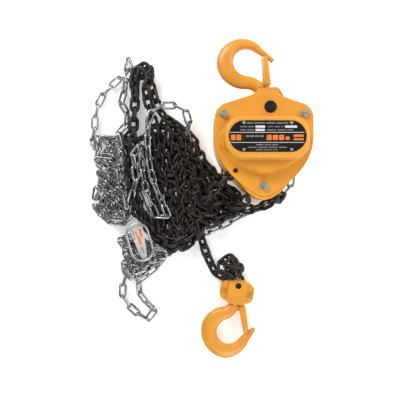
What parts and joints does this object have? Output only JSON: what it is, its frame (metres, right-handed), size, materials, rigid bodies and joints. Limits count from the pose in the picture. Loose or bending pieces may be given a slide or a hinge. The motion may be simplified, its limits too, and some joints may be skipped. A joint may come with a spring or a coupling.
{
  "type": "hand chain hoist",
  "caption": "Hand chain hoist lying on its side: painted body with gear cover and brake, swivel top hook, chain block with bottom hook, loose load chain and hand chain.",
  "frame": {"origin": "on the axle's line, at the flat outer face of the hand wheel cover that the hoist lies on", "axes": "+Z along the axle from the hand wheel cover to the gear cover, +Y from the axle towards the top hook"},
  "size_m": [0.4627, 0.6619, 0.1702],
  "materials": {
    "paint": "satin yellow-orange enamel",
    "plate_steel": "satin yellow-orange enamel",
    "zinc": "bright zinc plate",
    "black_steel": "blackened, lightly oiled",
    "machined_steel": "machined",
    "cast_iron": "as cast, machined faces",
    "name_plate": null,
    "plug_rubber": "moulded",
    "friction_lining": "moulded lining",
    "bush_bronze": "turned",
    "tag_metal": "satin, with a plain orange mark"
  },
  "bodies": {
    "frame": {"wheel_cover": "paint", "side_plate_wheel": "plate_steel", "side_plate_gear": "plate_steel", "gear_cover": "paint", "name_plate": "name_plate", "name_plate_rivets": "machined_steel", "stay_bolts": "zinc", "stay_nuts": "zinc", "top_pin": "black_steel", "top_pin_plug": "plug_rubber", "chain_anchor_pin": "black_steel", "chain_guide": "cast_iron", "guide_roller_pins": "machined_steel", "pawl_pins": "machined_steel", "pawl_springs": "machined_steel", "gear_bushes": "bush_bronze", "sheave_bearings": "machined_steel", "load_chain_links": "black_steel", "hand_chain_links": "zinc", "tag_ring": "zinc", "load_chain_fall": "black_steel", "load_chain_slack": "black_steel", "load_chain_hook_run": "black_steel", "load_chain_pile": "black_steel", "hand_chain_near_run": "zinc", "hand_chain_outer_run": "zinc", "hand_chain_tail": "zinc", "hand_chain_return": "zinc", "hand_chain_heaps": "zinc"},
    "drive": {"drive_shaft": "machined_steel", "castle_nut": "zinc", "split_pin": "zinc", "friction_hub": "machined_steel", "friction_disc_inner": "friction_lining"},
    "hand_wheel": {"hand_wheel": "cast_iron", "friction_disc_outer": "friction_lining"},
    "ratchet": {"ratchet_disc": "machined_steel"},
    "sheave": {"load_sheave": "cast_iron", "load_gear": "machined_steel", "snap_ring": "machined_steel"},
    "intermediate_left": {"intermediate_gear_left": "machined_steel"},
    "intermediate_right": {"intermediate_gear_right": "machined_steel"},
    "pawl_upper": {"pawl_upper": "machined_steel"},
    "pawl_lower": {"pawl_lower": "machined_steel"},
    "roller_left": {"guide_roller_left": "machined_steel"},
    "roller_right": {"guide_roller_right": "machined_steel"},
    "top_yoke": {"top_yoke": "paint", "top_yoke_bolts": "paint"},
    "top_hook": {"top_hook": "paint", "top_latch_pin": "paint", "top_latch_spring": "machined_steel"},
    "top_latch": {"top_latch": "paint"},
    "bottom_yoke": {"bottom_yoke": "paint", "bottom_yoke_bolts": "paint", "chain_pin": "black_steel"},
    "bottom_hook": {"bottom_hook": "paint", "bottom_latch_pin": "paint", "bottom_latch_spring": "machined_steel"},
    "bottom_latch": {"bottom_latch": "paint"},
    "tag": {"tag_plate": "tag_metal"}
  },
  "joints": [
    {"name": "drive_spin", "type": "hinge", "parent": "frame", "child": "drive", "pos_m": [0, 0, 0.03], "axis": [0, 0, 1], "continuous": true, "deforming": ["hand_chain_links", "load_chain_links"]},
    {"name": "hand_wheel_release", "type": "hinge", "parent": "drive", "child": "hand_wheel", "pos_m": [0, 0, 0.028], "axis": [0, 0, 1], "range_deg": [0, 24]},
    {"name": "ratchet_spin", "type": "hinge", "parent": "frame", "child": "ratchet", "pos_m": [0, 0, 0.0495], "axis": [0, 0, 1], "continuous": true},
    {"name": "sheave_spin", "type": "hinge", "parent": "frame", "child": "sheave", "pos_m": [0, 0, 0.096], "axis": [0, 0, 1], "continuous": true},
    {"name": "intermediate_left_spin", "type": "hinge", "parent": "frame", "child": "intermediate_left", "pos_m": [-0.0405, 0, 0.13], "axis": [0, 0, 1], "continuous": true},
    {"name": "intermediate_right_spin", "type": "hinge", "parent": "frame", "child": "intermediate_right", "pos_m": [0.0405, 0, 0.13], "axis": [0, 0, 1], "continuous": true},
    {"name": "pawl_upper_lift", "type": "hinge", "parent": "frame", "child": "pawl_upper", "pos_m": [-0.04925, 0.0293, 0.0495], "axis": [0, 0, 1], "range_deg": [0, 12], "stiffness_Nm_per_rad": 0.05, "springref_deg": -17.19, "deforming": ["pawl_springs"]},
    {"name": "pawl_lower_lift", "type": "hinge", "parent": "frame", "child": "pawl_lower", "pos_m": [0.04925, -0.0293, 0.0495], "axis": [0, 0, 1], "range_deg": [0, 12], "stiffness_Nm_per_rad": 0.05, "springref_deg": -17.19},
    {"name": "roller_left_spin", "type": "hinge", "parent": "frame", "child": "roller_left", "pos_m": [-0.0445, -0.02, 0.096], "axis": [0, 0, 1], "continuous": true},
    {"name": "roller_right_spin", "type": "hinge", "parent": "frame", "child": "roller_right", "pos_m": [0.0445, -0.02, 0.096], "axis": [0, 0, 1], "continuous": true},
    {"name": "top_yoke_swing", "type": "hinge", "parent": "frame", "child": "top_yoke", "pos_m": [0.012, 0.062, 0.096], "axis": [0, 0, 1], "range_deg": [-60, 12]},
    {"name": "top_hook_swivel", "type": "hinge", "parent": "top_yoke", "child": "top_hook", "pos_m": [-0.03187, 0.15607, 0.096], "axis": [0.4226, -0.9063, 0], "continuous": true},
    {"name": "top_latch_open", "type": "hinge", "parent": "top_hook", "child": "top_latch", "pos_m": [0.00902, 0.11335, 0.096], "axis": [0, 0, 1], "range_deg": [0, 45], "stiffness_Nm_per_rad": 0.1, "springref_deg": -17.19, "deforming": ["top_latch_spring"]},
    {"name": "bottom_yoke_pivot", "type": "hinge", "parent": "frame", "child": "bottom_yoke", "pos_m": [-0.04219, -0.30111, 0.017], "axis": [0, 0, 1], "range_deg": [-12, 6]},
    {"name": "bottom_hook_swivel", "type": "hinge", "parent": "bottom_yoke", "child": "bottom_hook", "pos_m": [-0.062, -0.403, 0.017], "axis": [0.1908, 0.9816, 0], "continuous": true},
    {"name": "bottom_latch_open", "type": "hinge", "parent": "bottom_hook", "child": "bottom_latch", "pos_m": [-0.03266, -0.35165, 0.017], "axis": [0, 0, 1], "range_deg": [-45, 0], "stiffness_Nm_per_rad": 0.1, "springref_deg": 17.19, "deforming": ["bottom_latch_spring"]},
    {"name": "tag_lift", "type": "hinge", "parent": "frame", "child": "tag", "pos_m": [-0.26036, -0.17048, 0.0466], "axis": [-0.96, -0.28, 0], "range_deg": [0, 20]}
  ],
  "couplings": [
    {"joint": "intermediate_left_spin", "follows": "drive_spin", "ratio": -0.28571},
    {"joint": "intermediate_right_spin", "follows": "drive_spin", "ratio": -0.28571},
    {"joint": "sheave_spin", "follows": "drive_spin", "ratio": 0.1}
  ]
}
